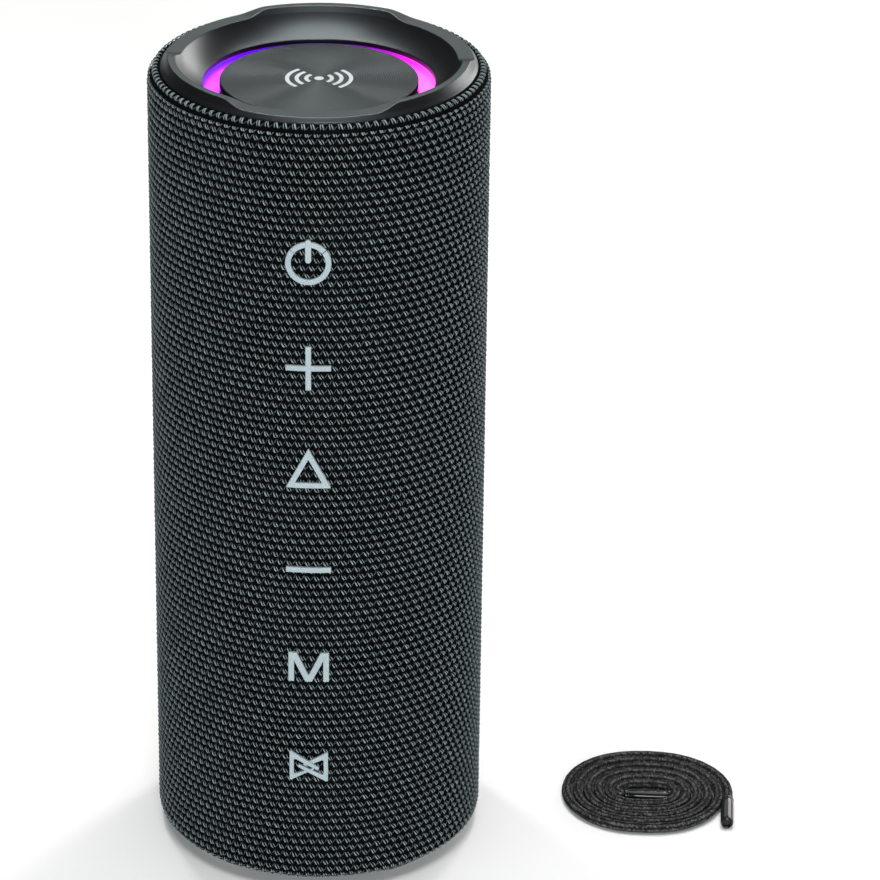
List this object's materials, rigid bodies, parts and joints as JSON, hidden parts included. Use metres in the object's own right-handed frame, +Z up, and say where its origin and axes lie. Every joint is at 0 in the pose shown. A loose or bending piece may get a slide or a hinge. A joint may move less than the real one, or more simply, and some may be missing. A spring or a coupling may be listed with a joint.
{
  "type": "shower speaker",
  "caption": "Upright cylindrical shower speaker with a knitted sleeve, wavy end bezels, a lit passive radiator, raised soft keys, a charging flap and a coiled lanyard.",
  "frame": {"origin": "centre of the footprint, on the surface that the three lower crests stand on", "axes": "+Z up along the cylinder, keys face -Y, charging flap and lanyard eye face +Y, the coiled lanyard lies on the +X side"},
  "size_m": [0.1351, 0.0762, 0.1892],
  "materials": {
    "knit": "coarse knitted polyester, charcoal",
    "structural_plastic": "fine texture",
    "bezel_metal": "satin metallic paint",
    "light_ring": "translucent, lit",
    "dark_trim": "fine texture",
    "circuit_board": "solder mask",
    "led": "clear lens",
    "soft_rubber": "smooth matte",
    "spun_disc": "anodised, fine concentric grooves",
    "zinc_steel": "zinc plated",
    "pressed_basket": "powder coat",
    "cone_paper": "pressed pulp",
    "cell_wrap": "shrink wrap",
    "key_symbol": "smooth matte",
    "key_rubber": "smooth matte",
    "cord_braid": "tight round braid",
    "cord_tip": "polished"
  },
  "bodies": {
    "speaker": {"fabric_sleeve": "knit", "grille_shell": "structural_plastic", "enclosure_tube": "structural_plastic", "inner_frame": "structural_plastic", "top_bezel": "bezel_metal", "top_light_guide": "light_ring", "top_led_board": "circuit_board", "top_leds": "led", "top_frame": "structural_plastic", "top_surround": "soft_rubber", "bottom_bezel": "bezel_metal", "bottom_trim_ring": "dark_trim", "bottom_frame": "structural_plastic", "bottom_surround": "soft_rubber", "end_screws": "zinc_steel", "right_basket": "pressed_basket", "right_magnet": "zinc_steel", "right_surround": "soft_rubber", "left_basket": "pressed_basket", "left_magnet": "zinc_steel", "left_surround": "soft_rubber", "driver_screws": "zinc_steel", "battery_cells": "cell_wrap", "main_board": "circuit_board", "key_board": "circuit_board", "key_switches": "zinc_steel", "port_cup": "dark_trim", "usb_socket": "zinc_steel", "lanyard_cup": "dark_trim", "lanyard_bar": "zinc_steel"},
    "power_key": {"power_icon": "key_symbol", "power_cloth": "knit", "power_cap": "key_rubber"},
    "plus_key": {"plus_icon": "key_symbol", "plus_cloth": "knit", "plus_cap": "key_rubber"},
    "play_key": {"play_icon": "key_symbol", "play_cloth": "knit", "play_cap": "key_rubber"},
    "minus_key": {"minus_icon": "key_symbol", "minus_cloth": "knit", "minus_cap": "key_rubber"},
    "mode_key": {"mode_icon": "key_symbol", "mode_cloth": "knit", "mode_cap": "key_rubber"},
    "pair_key": {"pair_icon": "key_symbol", "pair_cloth": "knit", "pair_cap": "key_rubber"},
    "top_radiator": {"top_disc": "spun_disc", "top_weight": "zinc_steel"},
    "bottom_radiator": {"bottom_disc": "spun_disc", "bottom_weight": "zinc_steel"},
    "right_diaphragm": {"right_cone": "cone_paper", "right_dust_cap": "cone_paper"},
    "left_diaphragm": {"left_cone": "cone_paper", "left_dust_cap": "cone_paper"},
    "charging_flap": {"port_flap": "soft_rubber"},
    "lanyard": {"lanyard_coil": "cord_braid", "lanyard_tips": "cord_tip"}
  },
  "joints": [
    {"name": "power_key_press", "type": "slide", "parent": "speaker", "child": "power_key", "axis": [0, 1, 0], "range_m": [0, 0.0005], "stiffness_N_per_m": 2500},
    {"name": "plus_key_press", "type": "slide", "parent": "speaker", "child": "plus_key", "axis": [0, 1, 0], "range_m": [0, 0.0005], "stiffness_N_per_m": 2500},
    {"name": "play_key_press", "type": "slide", "parent": "speaker", "child": "play_key", "axis": [0, 1, 0], "range_m": [0, 0.0005], "stiffness_N_per_m": 2500},
    {"name": "minus_key_press", "type": "slide", "parent": "speaker", "child": "minus_key", "axis": [0, 1, 0], "range_m": [0, 0.0005], "stiffness_N_per_m": 2500},
    {"name": "mode_key_press", "type": "slide", "parent": "speaker", "child": "mode_key", "axis": [0, 1, 0], "range_m": [0, 0.0005], "stiffness_N_per_m": 2500},
    {"name": "pair_key_press", "type": "slide", "parent": "speaker", "child": "pair_key", "axis": [0, 1, 0], "range_m": [0, 0.0005], "stiffness_N_per_m": 2500},
    {"name": "top_radiator_travel", "type": "slide", "parent": "speaker", "child": "top_radiator", "axis": [0, 0, 1], "range_m": [-0.0015, 0.0015], "stiffness_N_per_m": 2500, "deforming": ["top_surround"]},
    {"name": "bottom_radiator_travel", "type": "slide", "parent": "speaker", "child": "bottom_radiator", "axis": [0, 0, 1], "range_m": [-0.0015, 0.0015], "stiffness_N_per_m": 2500, "deforming": ["bottom_surround"]},
    {"name": "right_cone_travel", "type": "slide", "parent": "speaker", "child": "right_diaphragm", "axis": [1, 0, 0], "range_m": [-0.0015, 0.0015], "stiffness_N_per_m": 1800},
    {"name": "left_cone_travel", "type": "slide", "parent": "speaker", "child": "left_diaphragm", "axis": [-1, 0, 0], "range_m": [-0.0015, 0.0015], "stiffness_N_per_m": 1800},
    {"name": "charging_flap_hinge", "type": "hinge", "parent": "speaker", "child": "charging_flap", "pos_m": [0, 0.0366, 0.022], "axis": [-1, 0, 0], "range_deg": [0, 100]},
    {"name": "lanyard_lift", "type": "slide", "parent": "speaker", "child": "lanyard", "axis": [0, 0, 1], "range_m": [0, 0.05]}
  ]
}
